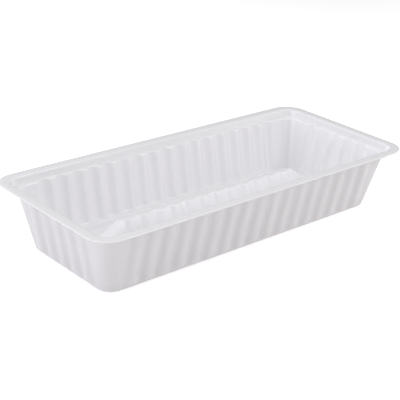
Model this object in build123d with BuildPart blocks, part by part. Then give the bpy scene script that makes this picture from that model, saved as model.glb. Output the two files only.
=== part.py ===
from build123d import *

import os
from math import atan, degrees, sin

# Developing tray, formed in one go from a single sheet of plastic. X runs along the tray,
# Y across it and Z up. The origin is on the surface that the tray stands on, under the
# middle of its floor. Every level and inset below belongs to the underside of the sheet
# unless its name says top; the top side follows one sheet thickness above and inside it.

# Whole tray, mm
tray_length = 260.0
tray_width = 115.0
tray_height = 43.0
sheet = 0.7

# Flat flange round the mouth, and the upright step below it
flange_corner_radius = 15.0
flange_width = 6.1
flange_edge_radius = 0.3
step_drop = 5.0
step_draft = 1.0
mouth_edge_radius = 0.9

# Sloping walls between the stacking ledge and the foot. An inset is measured inward from
# the flange's outer edge to the plain wall, which is where the valleys between ribs lie.
wall_top_inset = 9.3
wall_foot_inset = 17.1
wall_top_radius = 10.0
wall_foot_radius = 9.8
foot_height = 2.6
foot_edge_radius = 1.8

# Rounded ribs, standing out of the walls on the outside and hollow on the inside
rib_pitch = 12.1
rib_depth = 1.8
valley_radius = 3.9
long_wall_ribs = 17
end_wall_ribs = 5

# Floor: a standing ring round its edge, and a panel raised inside the ring
ring_width = 5.6
panel_rise = 1.0
panel_corner_radius = 7.0

# Hipped ridge along the middle of the floor, scalloped on both long sides
ridge_height = 22.5
ridge_top_length = 150.0
ridge_foot_length = 192.4
ridge_top_width = 2.6
ridge_foot_width = 22.6
ridge_top_scallop = 1.8
ridge_foot_scallop = 0.7
ridge_top_radius = 1.0
ridge_foot_radius = 3.0
ridge_ribs = 12

# Levels that follow from the sizes above
flange_underside = tray_height - sheet
ledge_underside = flange_underside - step_drop
panel_top = panel_rise + sheet


def between(low, high, share):
    """The value a given share of the way from low to high."""
    return low + (high - low) * share


def ribbed_run(start, direction, count, depth, skin):
    """Arcs of count ribs in a row, tangent to the plain wall at both ends.

    skin moves the row into the tray, which tightens the ribs and widens the valleys.
    """
    flank = 2 * atan(depth / (rib_pitch / 2))
    crest = rib_pitch / 2 / sin(flank) - valley_radius - skin
    valley = valley_radius + skin
    turn = degrees(flank)
    arc = JernArc(start, direction, valley, -turn)
    for rib in range(count):
        arc = JernArc(arc @ 1, arc % 1, crest, 2 * turn)
        last = rib == count - 1
        arc = JernArc(arc @ 1, arc % 1, valley, -turn if last else -2 * turn)
    return arc @ 1


def outline(length, width, radius, ribs, depth, skin):
    """Flat rounded rectangle whose long and end sides carry rows of ribs."""
    x = length / 2 - skin
    y = width / 2 - skin
    r = radius - skin
    sides = [
        (Vector(1, 0), (-x + r, -y), (x - r, -y), (x - r, -y + r), 270, ribs[0]),
        (Vector(0, 1), (x, -y + r), (x, y - r), (x - r, y - r), 0, ribs[1]),
        (Vector(-1, 0), (x - r, y), (-x + r, y), (-x + r, y - r), 90, ribs[0]),
        (Vector(0, -1), (-x, y - r), (-x, -y + r), (-x + r, -y + r), 180, ribs[1]),
    ]
    with BuildSketch() as section:
        with BuildLine():
            for along, start, end, centre, angle, count in sides:
                if count:
                    middle = (Vector(*start) + Vector(*end)) / 2
                    row_start = middle - along * (count * rib_pitch / 2)
                    Line(start, row_start)
                    start = ribbed_run(row_start, along, count, depth, skin)
                Line(start, end)
                CenterArc(centre, r, angle, 90)
        make_face()
    return section.sketch_local


def inset_outline(inset, radius, skin, ribs=(0, 0)):
    """Outline that stays a given distance inside the flange's outer edge."""
    length = tray_length - 2 * inset
    width = tray_width - 2 * inset
    return outline(length, width, radius, ribs, rib_depth, skin)


def wall_outline(level, skin, ribs):
    """Section through the sloping walls at a height above the standing surface."""
    share = level / ledge_underside
    inset = between(wall_foot_inset, wall_top_inset, share)
    radius = between(wall_foot_radius, wall_top_radius, share)
    return inset_outline(inset, radius, skin, ribs)


def ridge_outline(level, shrink):
    """Section through the ridge at a height above the standing surface."""
    share = (level - panel_top) / (ridge_height - panel_top)
    return outline(
        between(ridge_foot_length, ridge_top_length, share),
        between(ridge_foot_width, ridge_top_width, share),
        between(ridge_foot_radius, ridge_top_radius, share),
        (ridge_ribs, 0),
        between(ridge_foot_scallop, ridge_top_scallop, share),
        shrink,
    )


def formed_block(skin):
    """Solid block under one side of the sheet.

    With skin = 0 it is everything that the underside encloses, and with skin = sheet it
    is the room inside the tray, so that the one less the other is the sheet.
    """
    shrink = sheet - skin
    foot_top = foot_height + skin
    ledge = ledge_underside + skin
    ribs = (long_wall_ribs, end_wall_ribs)
    with BuildPart() as block:
        # Plain foot below the ribs
        with BuildSketch(Plane.XY.offset(skin)):
            add(wall_outline(skin, skin, (0, 0)))
        with BuildSketch(Plane.XY.offset(foot_top)):
            add(wall_outline(foot_top, skin, (0, 0)))
        loft(ruled=True)
        bottom = block.faces().sort_by(Axis.Z)[0]
        fillet(bottom.edges(), foot_edge_radius - skin)
        # Ribbed walls up to the stacking ledge
        with BuildSketch(Plane.XY.offset(foot_top)):
            add(wall_outline(foot_top, skin, ribs))
        with BuildSketch(Plane.XY.offset(ledge)):
            add(wall_outline(ledge, skin, ribs))
        loft(ruled=True)
        # Upright step from the ledge to the flange
        with BuildSketch(Plane.XY.offset(ledge)):
            add(inset_outline(flange_width + step_draft, flange_corner_radius - flange_width, skin))
        with BuildSketch(Plane.XY.offset(flange_underside + skin)):
            add(inset_outline(flange_width, flange_corner_radius - flange_width, skin))
        loft(ruled=True)
        # Raised floor panel
        with BuildSketch(Plane.XY.offset(skin)):
            add(inset_outline(wall_foot_inset + ring_width, panel_corner_radius, shrink))
        extrude(amount=panel_rise, mode=Mode.SUBTRACT)
        # Ridge standing on the panel
        with BuildSketch(Plane.XY.offset(panel_rise + skin)):
            add(ridge_outline(panel_rise + skin, shrink))
        with BuildSketch(Plane.XY.offset(ridge_height - shrink)):
            add(ridge_outline(ridge_height - shrink, shrink))
        loft(ruled=True, mode=Mode.SUBTRACT)
    return block.part


underside_block = formed_block(0)
inner_space = formed_block(sheet)

with BuildPart() as tray:
    with BuildSketch(Plane.XY.offset(flange_underside)):
        RectangleRounded(tray_length, tray_width, flange_corner_radius)
    extrude(amount=sheet)
    fillet(tray.edges().filter_by(Plane.XY), flange_edge_radius)
    add(underside_block)
    add(inner_space, mode=Mode.SUBTRACT)
    mouth = tray.faces().filter_by(Plane.XY).sort_by(Axis.Z)[-1].inner_wires()[0]
    fillet(mouth.edges(), mouth_edge_radius)
tray.part.label = "tray"

os.makedirs("parts", exist_ok=True)
export_step(tray.part, "parts/tray.step")
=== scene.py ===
import math

import bmesh
import bpy
import numpy as np
from mathutils import Matrix, Vector
from mathutils.geometry import delaunay_2d_cdt


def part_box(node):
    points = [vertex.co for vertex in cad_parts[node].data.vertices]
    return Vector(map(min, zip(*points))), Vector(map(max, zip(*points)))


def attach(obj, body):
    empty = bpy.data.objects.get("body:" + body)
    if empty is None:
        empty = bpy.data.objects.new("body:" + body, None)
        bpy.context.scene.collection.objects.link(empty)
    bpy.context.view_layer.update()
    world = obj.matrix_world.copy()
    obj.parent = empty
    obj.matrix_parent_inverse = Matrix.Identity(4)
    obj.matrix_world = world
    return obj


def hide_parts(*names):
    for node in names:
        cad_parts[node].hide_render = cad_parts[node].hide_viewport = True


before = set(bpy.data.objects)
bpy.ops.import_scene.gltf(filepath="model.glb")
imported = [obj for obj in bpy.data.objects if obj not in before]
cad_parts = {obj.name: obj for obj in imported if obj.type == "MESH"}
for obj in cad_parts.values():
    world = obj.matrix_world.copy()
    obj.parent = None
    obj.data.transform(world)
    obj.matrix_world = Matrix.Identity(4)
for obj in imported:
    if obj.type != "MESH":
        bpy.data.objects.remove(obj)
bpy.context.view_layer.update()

# The tray's own shape is worked out here in millimetres and turned to metres once.
MM = 0.001
TRAY_LOW, TRAY_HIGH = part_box("tray")
LENGTH = (TRAY_HIGH.x - TRAY_LOW.x) / MM
WIDTH = (TRAY_HIGH.y - TRAY_LOW.y) / MM
HEIGHT = (TRAY_HIGH.z - TRAY_LOW.z) / MM
SHEET = 0.7

# Flange and step
FLANGE_CORNER = 15.0
FLANGE_WIDTH = 6.1
STEP_DROP = 5.0
STEP_DRAFT = 1.0

# Sloping ribbed walls and the plain foot under them
WALL_TOP_INSET = 9.3
WALL_FOOT_INSET = 17.1
WALL_TOP_RADIUS = 10.0
WALL_FOOT_RADIUS = 9.8
FOOT_HEIGHT = 2.6
RIB_PITCH = 12.1
RIB_DEPTH = 1.8
VALLEY_RADIUS = 3.9
LONG_RIBS = 17
END_RIBS = 5

# Floor: a standing ring, and a panel raised inside it. The panel's riser leans by RISER_LEAN
# either way from upright, and the flat sheet starts FLAT_MARGIN from the riser and the ridge.
RING_WIDTH = 5.6
PANEL_RISE = 1.0
PANEL_RADIUS = 7.0
RISER_LEAN = 0.25
FLAT_MARGIN = 2.0

# Ridge. A pair is the value at the ridge's foot, then at its top.
RIDGE_HEIGHT = 22.5
RIDGE_LENGTH = (192.4, 150.0)
RIDGE_WIDTH = (22.6, 2.6)
RIDGE_RADIUS = (3.0, 1.0)
RIDGE_SCALLOP = (0.7, 1.8)
RIDGE_RIBS = 12

# The two sides of the sheet. These are also the numbers of their material slots.
TOP, UNDER = 0, 1

# How far back each corner of the sheet's section is cut to round it. A pair is the top
# side, then the underside.
RIM_EDGE_TRIM = 0.34
MOUTH_TRIM = (1.1, 0.5)
STEP_FOOT_TRIM = (0.6, 1.1)
LEDGE_TRIM = (1.9, 0.4)
RIB_FOOT_TRIM = (1.1, 1.3)
FOOT_TOP_TRIM = (0.5, 0.4)
FOOT_EDGE_TRIM = (1.3, 1.9)
RISER_TRIM = 0.5
RIDGE_FOOT_TRIM = 1.2
RIDGE_TOP_TRIM = 0.9

# Limits on that rounding: the share of a straight run that a cut may use up, and how many
# times longer one side's cut may be than the other's
CUT_SHARE = 0.49
CUT_RATIO = 3

# How finely the mesh follows the shape: numbers of points or rows, and the grid's spacing
VALLEY_STEPS = 4
CREST_STEPS = 8
PLAIN_STEPS = 6
CORNER_STEPS = 16
FILLET_STEPS = 5
WALL_STEPS = 4
PANEL_GRID = 3.0

# The share of a straight side that a row of ribs may fill
FULL_ROW = 0.998

# Triangulating the floor: keep what lies inside the outer ring, and how close two points, in
# millimetres, count as one
TRIANGLES_INSIDE = 1
SAME_POINT = 1e-7

# Welding the mesh, in metres: how close points are merged, and how short edges are dissolved
MERGE_DISTANCE = 1e-6
SHORT_EDGE = 1e-7

# Levels that follow from the sizes above
FLANGE_UNDERSIDE = HEIGHT - SHEET
LEDGE_UNDERSIDE = FLANGE_UNDERSIDE - STEP_DROP
PANEL_TOP = PANEL_RISE + SHEET


def between(low, high, share):
    """The value a given share of the way from low to high."""
    return low + (high - low) * share


# ---------------------------------------------------------------- outlines

def rib_wave():
    """One rib from valley to valley: distance along the wall, and height as a share."""
    flank = 2 * math.atan(RIB_DEPTH / (RIB_PITCH / 2))
    valley = VALLEY_RADIUS + SHEET / 2
    crest = RIB_PITCH / 2 / math.sin(flank) - valley
    rise = np.linspace(0, flank, VALLEY_STEPS, endpoint=False)
    over = np.linspace(flank, -flank, CREST_STEPS, endpoint=False)
    fall = np.linspace(-flank, 0, VALLEY_STEPS, endpoint=False)
    along = np.concatenate([
        valley * np.sin(rise),
        RIB_PITCH / 2 - crest * np.sin(over),
        RIB_PITCH + valley * np.sin(fall),
    ])
    height = np.concatenate([
        valley * (1 - np.cos(rise)),
        RIB_DEPTH - crest * (1 - np.cos(over)),
        valley * (1 - np.cos(fall)),
    ])
    return along, height / RIB_DEPTH


def side_run(reach, ribs):
    """Points of one straight side: place along it, and rib height as a share."""
    half_row = ribs * RIB_PITCH / 2
    shown = min(half_row, FULL_ROW * reach)
    lead = np.linspace(-reach, -shown, PLAIN_STEPS, endpoint=False)
    tail = np.linspace(shown, reach, PLAIN_STEPS, endpoint=False)
    if not ribs:
        row, height = np.empty(0), np.empty(0)
    else:
        along, share = rib_wave()
        row = np.concatenate([along + rib * RIB_PITCH - half_row for rib in range(ribs)])
        row = row * shown / half_row
        height = np.tile(share, ribs)
    plain = np.zeros(PLAIN_STEPS)
    return np.concatenate([lead, row, tail]), np.concatenate([plain, height, plain])


def loop(length, width, radius, z, long_ribs, end_ribs, depth=0.0):
    """Closed ring of points round a rounded rectangle, anticlockwise from above.

    It starts at the left end of the front side. Ribs stand out from it by depth.
    """
    x, y = length / 2, width / 2
    long_side, end_side = (x, y, long_ribs), (y, x, end_ribs)
    points = []
    for turn, (half, across, ribs) in enumerate((long_side, end_side, long_side, end_side)):
        along, share = side_run(half - radius, ribs)
        arc = np.linspace(0, math.pi / 2, CORNER_STEPS, endpoint=False)
        run = np.concatenate([along, half - radius + radius * np.sin(arc)])
        out = np.concatenate([across + share * depth, across - radius + radius * np.cos(arc)])
        cosine, sine = math.cos(turn * math.pi / 2), math.sin(turn * math.pi / 2)
        points.append(np.stack([run * cosine + out * sine, run * sine - out * cosine], 1))
    flat = np.concatenate(points)
    return np.column_stack([flat, np.full(len(flat), z)])


def tray_loop(inset, radius, z, depth=0.0):
    """Ring that stays a given distance inside the flange's outer edge."""
    return loop(LENGTH - 2 * inset, WIDTH - 2 * inset, radius, z, LONG_RIBS, END_RIBS, depth)


def wall_loop(z, skin, depth):
    """Ring on the sloping walls. skin is 0 on the underside of the sheet."""
    share = z / LEDGE_UNDERSIDE
    inset = between(WALL_FOOT_INSET, WALL_TOP_INSET, share) + skin
    radius = between(WALL_FOOT_RADIUS, WALL_TOP_RADIUS, share) - skin
    return tray_loop(inset, radius, z, depth)


def ridge_loop(z, shrink, grow=0.0):
    """Ring on the ridge. shrink is 0 on the top side of the sheet.

    grow moves the ring out onto the flat floor, where it has no scallops.
    """
    share = (z - PANEL_TOP) / (RIDGE_HEIGHT - PANEL_TOP)
    scallop = between(*RIDGE_SCALLOP, share) if not grow else 0.0
    return loop(
        between(*RIDGE_LENGTH, share) - 2 * shrink + 2 * grow,
        between(*RIDGE_WIDTH, share) - 2 * shrink + 2 * grow,
        between(*RIDGE_RADIUS, share) - shrink + grow,
        z, RIDGE_RIBS, 0, scallop,
    )


# ---------------------------------------------------------------- rounding

def rounded(stations):
    """Rows of points through the stations, with every corner between them rounded.

    A station is (ring, trim, steps): the ring of points, how far back its corner is cut,
    and how many parts the straight run to the next station is divided into. The first and
    last stations are ends and not corners, so their trims aren't used.
    """
    rings = [station[0] for station in stations]
    rows = [rings[0]]
    last_steps = stations[0][2]
    for before, (ring, trim, steps), after in zip(rings, stations[1:-1], rings[2:]):
        back, ahead = before - ring, after - ring
        back_length = np.linalg.norm(back, axis=1, keepdims=True)
        ahead_length = np.linalg.norm(ahead, axis=1, keepdims=True)
        back_cut = np.minimum(trim, CUT_SHARE * back_length)
        ahead_cut = np.minimum(trim, CUT_SHARE * ahead_length)
        back_cut, ahead_cut = (
            np.minimum(back_cut, CUT_RATIO * ahead_cut),
            np.minimum(ahead_cut, CUT_RATIO * back_cut),
        )
        start = ring + back / np.maximum(back_length, 1e-9) * back_cut
        end = ring + ahead / np.maximum(ahead_length, 1e-9) * ahead_cut
        previous = rows[-1]
        for step in range(1, last_steps):
            rows.append(previous + (start - previous) * step / last_steps)
        for t in np.linspace(0, 1, FILLET_STEPS):
            rows.append((1 - t) ** 2 * start + 2 * t * (1 - t) * ring + t * t * end)
        last_steps = steps
    previous = rows[-1]
    for step in range(1, last_steps + 1):
        rows.append(previous + (rings[-1] - previous) * step / last_steps)
    return rows


# ---------------------------------------------------------------- mesh

class Shell:
    """Vertices and faces of the sheet, with the number of each face's finish."""

    def __init__(self):
        self.points, self.faces, self.finish = [], [], []

    def add_points(self, points):
        """Adds the points and gives the number of the first."""
        first = len(self.points)
        self.points.extend(map(tuple, points))
        return first

    def strip(self, rows, finish_of_row):
        """Closed bands of four-sided faces between one row and the next."""
        count = len(rows[0])
        firsts = [self.add_points(row) for row in rows]
        for number, (a, b) in enumerate(zip(firsts, firsts[1:])):
            for i in range(count):
                j = (i + 1) % count
                self.faces.append((a + i, a + j, b + j, b + i))
                self.finish.append(finish_of_row(number))

    def panel(self, outer, inner, z, upward, finish):
        """Flat floor between two rings, at one height, with a grid of points in it."""
        grid = [
            (x, y)
            for x in np.arange(-LENGTH / 2, LENGTH / 2, PANEL_GRID)
            for y in np.arange(-WIDTH / 2, WIDTH / 2, PANEL_GRID)
            if clear_of_rings(x, y, outer, inner)
        ]
        flat = [(p[0], p[1]) for p in outer] + [(p[0], p[1]) for p in inner]
        count, total = len(outer), len(flat)
        edges = [(i, (i + 1) % count) for i in range(count)]
        edges += [(count + i, count + (i + 1) % (total - count)) for i in range(total - count)]
        points, _, triangles, origin, _, _ = delaunay_2d_cdt(
            [Vector(p) for p in flat + grid], edges, [], TRIANGLES_INSIDE, SAME_POINT
        )
        # A triangle with every corner on the inner ring lies inside it, under the ridge.
        on_inner = [any(count <= o < total for o in source) for source in origin]
        first = self.add_points([(p.x, p.y, z) for p in points])
        for triangle in triangles:
            if all(on_inner[i] for i in triangle):
                continue
            a, b, c = (points[i] for i in triangle)
            turn = (b - a).cross(c - a)
            corners = [first + i for i in triangle]
            if (turn > 0) != upward:
                corners.reverse()
            self.faces.append(tuple(corners))
            self.finish.append(finish)


def clear_of_rings(x, y, outer, inner):
    """Whether a floor point is well inside the outer ring and outside the inner one."""
    outer_x, outer_y = outer[:, 0].max(), outer[:, 1].max()
    inner_x, inner_y = inner[:, 0].max(), inner[:, 1].max()
    gap = PANEL_GRID / 2
    inside = abs(x) < outer_x - gap and abs(y) < outer_y - gap
    corner = abs(x) > outer_x - PANEL_RADIUS and abs(y) > outer_y - PANEL_RADIUS
    outside = abs(x) > inner_x + gap or abs(y) > inner_y + gap
    return inside and outside and not corner


def tray_stations():
    """Stations from the floor panel's top, up and over the flange, to its underside."""
    ring_inset = WALL_FOOT_INSET + RING_WIDTH
    step_radius = FLANGE_CORNER - FLANGE_WIDTH
    step_foot = FLANGE_WIDTH + STEP_DRAFT
    top_ledge = LEDGE_UNDERSIDE + SHEET
    top_foot = FOOT_HEIGHT + SHEET
    upper = [
        (tray_loop(ring_inset + FLAT_MARGIN, PANEL_RADIUS - FLAT_MARGIN, PANEL_TOP), 0, 1),
        (tray_loop(ring_inset + RISER_LEAN, PANEL_RADIUS, PANEL_TOP), RISER_TRIM, 1),
        (tray_loop(ring_inset - RISER_LEAN, PANEL_RADIUS, SHEET), RISER_TRIM, 2),
        (wall_loop(SHEET, SHEET, 0), FOOT_EDGE_TRIM[TOP], 1),
        (wall_loop(top_foot, SHEET, 0), FOOT_TOP_TRIM[TOP], 1),
        (wall_loop(top_foot, SHEET, RIB_DEPTH), RIB_FOOT_TRIM[TOP], WALL_STEPS),
        (wall_loop(top_ledge, SHEET, RIB_DEPTH), LEDGE_TRIM[TOP], 1),
        (tray_loop(step_foot + SHEET, step_radius - SHEET, top_ledge), STEP_FOOT_TRIM[TOP], 2),
        (tray_loop(FLANGE_WIDTH + SHEET, step_radius - SHEET, HEIGHT), MOUTH_TRIM[TOP], 2),
        (tray_loop(0, FLANGE_CORNER, HEIGHT), RIM_EDGE_TRIM, 1),
    ]
    under_radius = PANEL_RADIUS - SHEET
    lower = [
        (tray_loop(0, FLANGE_CORNER, FLANGE_UNDERSIDE), RIM_EDGE_TRIM, 2),
        (tray_loop(FLANGE_WIDTH, step_radius, FLANGE_UNDERSIDE), MOUTH_TRIM[UNDER], 2),
        (tray_loop(step_foot, step_radius, LEDGE_UNDERSIDE), STEP_FOOT_TRIM[UNDER], 1),
        (wall_loop(LEDGE_UNDERSIDE, 0, RIB_DEPTH), LEDGE_TRIM[UNDER], WALL_STEPS),
        (wall_loop(FOOT_HEIGHT, 0, RIB_DEPTH), RIB_FOOT_TRIM[UNDER], 1),
        (wall_loop(FOOT_HEIGHT, 0, 0), FOOT_TOP_TRIM[UNDER], 1),
        (wall_loop(0, 0, 0), FOOT_EDGE_TRIM[UNDER], 2),
        (tray_loop(ring_inset + SHEET - RISER_LEAN, under_radius, 0), RISER_TRIM, 1),
        (tray_loop(ring_inset + SHEET + RISER_LEAN, under_radius, PANEL_RISE), RISER_TRIM, 1),
        (tray_loop(ring_inset + FLAT_MARGIN, PANEL_RADIUS - FLAT_MARGIN, PANEL_RISE), 0, 1),
    ]
    return upper, lower


def ridge_rows(shrink):
    """Rows up one side of the ridge's sheet, from the flat floor to the line of its spine."""
    foot, top = PANEL_TOP - shrink, RIDGE_HEIGHT - shrink
    crest = ridge_loop(top, shrink)
    spine = crest.copy()
    limit = RIDGE_LENGTH[1] / 2 - RIDGE_WIDTH[1] / 2
    spine[:, 0] = np.clip(spine[:, 0], -limit, limit)
    spine[:, 1] = 0
    return rounded([
        (ridge_loop(foot, shrink, FLAT_MARGIN), 0, 1),
        (ridge_loop(foot, shrink), RIDGE_FOOT_TRIM, WALL_STEPS),
        (crest, RIDGE_TOP_TRIM, 2),
        (spine, 0, 1),
    ])


def make_tray():
    """The whole sheet as one closed mesh: top side glossy, underside satin and darkened as
    painted shade.
    """
    shell = Shell()
    upper, lower = tray_stations()
    rows = rounded(upper + lower)
    # The finishes meet at the flange's outermost row, the highest one where rows tie. Counted
    # from the other end, it is the first of the top side's rows.
    rim = max(range(len(rows)), key=lambda i: rows[i][0][2] * 1e-3 - rows[i][0][1])
    first_of_top = len(rows) - 1 - rim
    shell.strip(rows[::-1], lambda number: TOP if number >= first_of_top else UNDER)
    top_ridge, under_ridge = ridge_rows(0), ridge_rows(SHEET)
    shell.strip(top_ridge, lambda number: TOP)
    shell.strip(under_ridge[::-1], lambda number: UNDER)
    shell.panel(rows[0], top_ridge[0], PANEL_TOP, True, TOP)
    shell.panel(rows[-1], under_ridge[0], PANEL_RISE, False, UNDER)

    mesh = shell_mesh(shell)
    piece = bpy.data.objects.new("tray_sheet", mesh)
    bpy.context.scene.collection.objects.link(piece)
    mesh.materials.append(sheet_material(
        "white_sheet_top", TOP_WHITE, roughness=0.19, orange_peel=0.015, shine=0.65
    ))
    # The underside's material takes the white that is darkened as painted shade.
    mesh.materials.append(sheet_material(
        "white_sheet_underside_painted_shade", UNDER_WHITE_PAINTED_SHADE, roughness=0.36, orange_peel=0.10, shine=0.5
    ))
    return piece


def shell_mesh(shell):
    """The shell in metres, in the CAD tray's place, welded and shaded smooth."""
    mesh = bpy.data.meshes.new("tray_sheet")
    centre = (TRAY_LOW + TRAY_HIGH) / 2
    place = np.array([centre.x, centre.y, TRAY_LOW.z])
    mesh.from_pydata((np.array(shell.points) * MM + place).tolist(), [], shell.faces)
    mesh.polygons.foreach_set("material_index", shell.finish)
    work = bmesh.new()
    work.from_mesh(mesh)
    bmesh.ops.remove_doubles(work, verts=work.verts, dist=MERGE_DISTANCE)
    bmesh.ops.dissolve_degenerate(work, edges=work.edges, dist=SHORT_EDGE)
    work.to_mesh(mesh)
    work.free()
    mesh.polygons.foreach_set("use_smooth", [True] * len(mesh.polygons))
    return mesh


# ---------------------------------------------------------------- materials

# The sheet's white on either side. The underside's is darker as painted shade for the lesser
# light on the outside of the walls, set to match the picture, and isn't known to be the
# plastic's own.
TOP_WHITE = (0.884, 0.884, 0.902)
UNDER_WHITE_PAINTED_SHADE = (0.600, 0.586, 0.602)

# How far the white and the roughness wander over the sheet
MOTTLE_DARK, MOTTLE_LIGHT = 0.995, 1.005
ROUGHNESS_BELOW, ROUGHNESS_ABOVE = 0.05, 0.07
PEEL_HEIGHT = 0.0002


def sheet_material(name, white, roughness, orange_peel, shine):
    """White polystyrene sheet: faint mottling, soft orange peel and uneven gloss."""
    material = bpy.data.materials.new(name)
    material.use_nodes = True
    nodes, links = material.node_tree.nodes, material.node_tree.links
    shader = nodes["Principled BSDF"]
    shader.inputs["IOR"].default_value = 1.6
    shader.inputs["Specular IOR Level"].default_value = shine
    where = nodes.new("ShaderNodeTexCoord")

    mottle = nodes.new("ShaderNodeTexNoise")
    mottle.inputs["Scale"].default_value = 60
    mottle.inputs["Detail"].default_value = 1
    links.new(where.outputs["Object"], mottle.inputs["Vector"])
    tint = nodes.new("ShaderNodeValToRGB")
    tint.color_ramp.elements[0].position = 0.3
    tint.color_ramp.elements[0].color = (*(MOTTLE_DARK * c for c in white), 1)
    tint.color_ramp.elements[1].position = 0.7
    tint.color_ramp.elements[1].color = (*(MOTTLE_LIGHT * c for c in white), 1)
    links.new(mottle.outputs["Fac"], tint.inputs["Fac"])
    links.new(tint.outputs["Color"], shader.inputs["Base Color"])

    smudge = nodes.new("ShaderNodeTexNoise")
    smudge.inputs["Scale"].default_value = 80
    smudge.inputs["Detail"].default_value = 2
    links.new(where.outputs["Object"], smudge.inputs["Vector"])
    rough = nodes.new("ShaderNodeMapRange")
    rough.inputs["To Min"].default_value = roughness - ROUGHNESS_BELOW
    rough.inputs["To Max"].default_value = roughness + ROUGHNESS_ABOVE
    links.new(smudge.outputs["Fac"], rough.inputs["Value"])
    links.new(rough.outputs["Result"], shader.inputs["Roughness"])

    peel = nodes.new("ShaderNodeTexNoise")
    peel.inputs["Scale"].default_value = 150
    peel.inputs["Detail"].default_value = 1
    links.new(where.outputs["Object"], peel.inputs["Vector"])
    bump = nodes.new("ShaderNodeBump")
    bump.inputs["Strength"].default_value = orange_peel
    bump.inputs["Distance"].default_value = PEEL_HEIGHT
    links.new(peel.outputs["Fac"], bump.inputs["Height"])
    links.new(bump.outputs["Normal"], shader.inputs["Normal"])
    return material


def floor_material():
    """Pale matt floor that glows a little, with the faintest unevenness."""
    material = bpy.data.materials.new("pale_floor")
    material.use_nodes = True
    nodes, links = material.node_tree.nodes, material.node_tree.links
    shader = nodes["Principled BSDF"]
    shader.inputs["Roughness"].default_value = 0.9
    shader.inputs["Emission Color"].default_value = (1, 1, 1, 1)
    shader.inputs["Emission Strength"].default_value = FLOOR_GLOW
    where = nodes.new("ShaderNodeTexCoord")
    noise = nodes.new("ShaderNodeTexNoise")
    noise.inputs["Scale"].default_value = 3
    links.new(where.outputs["Object"], noise.inputs["Vector"])
    tint = nodes.new("ShaderNodeValToRGB")
    tint.color_ramp.elements[0].color = (0.93, 0.93, 0.93, 1)
    tint.color_ramp.elements[1].color = (0.95, 0.95, 0.95, 1)
    links.new(noise.outputs["Fac"], tint.inputs["Fac"])
    links.new(tint.outputs["Color"], shader.inputs["Base Color"])
    return material


# ---------------------------------------------------------------- stage

# Camera: degrees, metres and, for the lens and sensor, millimetres
CAMERA_AZIMUTH = -42.12
CAMERA_ELEVATION = 23.58
CAMERA_ROLL = 2.79
CAMERA_DISTANCE = 0.7276
CAMERA_AIM = (0.0207, 0.0323)
CAMERA_LENS = 93.98
CAMERA_SENSOR = 36

# Lights: metres, and slight tints of white
LIGHT_DISTANCE = 1.0
SOFTBOX = (0.6, 0.6)
SMALL_SOFTBOX = (0.35, 0.35)
WARM, PLAIN, COOL = (1.01, 0.985, 0.985), (1, 0.99, 1), (0.985, 0.99, 1.03)

FLOOR_REACH = 3.0
ROOM_LIGHT = 0.18
FLOOR_GLOW = 0.37


def direction(azimuth, elevation):
    """Unit vector from the object towards a place round it, with azimuth 0 in front."""
    a, e = math.radians(azimuth), math.radians(elevation)
    return Vector((math.sin(a) * math.cos(e), -math.cos(a) * math.cos(e), math.sin(e)))


def make_camera():
    """Camera at the picture's viewing angle, turned a little about its own line of sight."""
    data = bpy.data.cameras.new("camera")
    data.lens = CAMERA_LENS
    data.sensor_width = CAMERA_SENSOR
    camera = bpy.data.objects.new("camera", data)
    bpy.context.scene.collection.objects.link(camera)
    back = direction(CAMERA_AZIMUTH, CAMERA_ELEVATION)
    aim = Vector((*CAMERA_AIM, TRAY_LOW.z))
    turn = back.to_track_quat("Z", "Y").to_matrix() @ Matrix.Rotation(
        math.radians(CAMERA_ROLL), 3, "Z"
    )
    camera.matrix_world = Matrix.Translation(aim + back * CAMERA_DISTANCE) @ turn.to_4x4()
    bpy.context.scene.camera = camera


def soft_light(name, azimuth, elevation, size, power, colour):
    """Area light of a given width and height that faces the origin."""
    data = bpy.data.lights.new(name, "AREA")
    data.shape = "RECTANGLE"
    data.size, data.size_y = size
    data.energy = power
    data.color = colour
    light = bpy.data.objects.new(name, data)
    back = direction(azimuth, elevation)
    light.location = back * LIGHT_DISTANCE
    light.rotation_euler = back.to_track_quat("Z", "Y").to_euler()
    bpy.context.scene.collection.objects.link(light)


def make_floor():
    """Square floor that the tray stands on."""
    mesh = bpy.data.meshes.new("floor")
    reach = FLOOR_REACH
    corners = [(-reach, -reach), (reach, -reach), (reach, reach), (-reach, reach)]
    mesh.from_pydata([(x, y, TRAY_LOW.z) for x, y in corners], [], [(0, 1, 2, 3)])
    mesh.materials.append(floor_material())
    floor = bpy.data.objects.new("floor", mesh)
    bpy.context.scene.collection.objects.link(floor)


def make_room_light():
    """Faint even light from all round, with plain colours in the render."""
    world = bpy.data.worlds.new("studio")
    world.use_nodes = True
    background = world.node_tree.nodes["Background"]
    background.inputs["Color"].default_value = (1, 1, 1, 1)
    background.inputs["Strength"].default_value = ROOM_LIGHT
    bpy.context.scene.world = world
    bpy.context.scene.view_settings.view_transform = "Standard"


def make_lights():
    """Soft lights: cool from the left, warm from the front and above, otherwise plain."""
    soft_light("back_low_softbox", 180, 12, SOFTBOX, 2.9, PLAIN)
    soft_light("back_high_softbox", 180, 60, SOFTBOX, 0.8, PLAIN)
    soft_light("back_left_softbox", -133, 42, SOFTBOX, 1.7, COOL)
    soft_light("left_low_softbox", -106, 12, SOFTBOX, 2.15, COOL)
    soft_light("left_softbox", -97, 45, SOFTBOX, 1.2, COOL)
    soft_light("left_strip", -79, 13, (0.15, 0.4), 0.6, COOL)
    soft_light("front_strip", -18, 13, (0.12, 0.4), 0.4, WARM)
    soft_light("front_right_softbox", 27, 35, SMALL_SOFTBOX, 2.35, WARM)
    soft_light("right_front_low_softbox", 59, 15, SOFTBOX, 1.3, WARM)
    soft_light("right_low_softbox", 90, 12, SOFTBOX, 1.4, PLAIN)
    soft_light("top_softbox", -6, 73, SOFTBOX, 2.55, WARM)


make_camera()
make_floor()
make_room_light()
make_lights()
tray = make_tray()
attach(tray, "root")
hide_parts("tray")
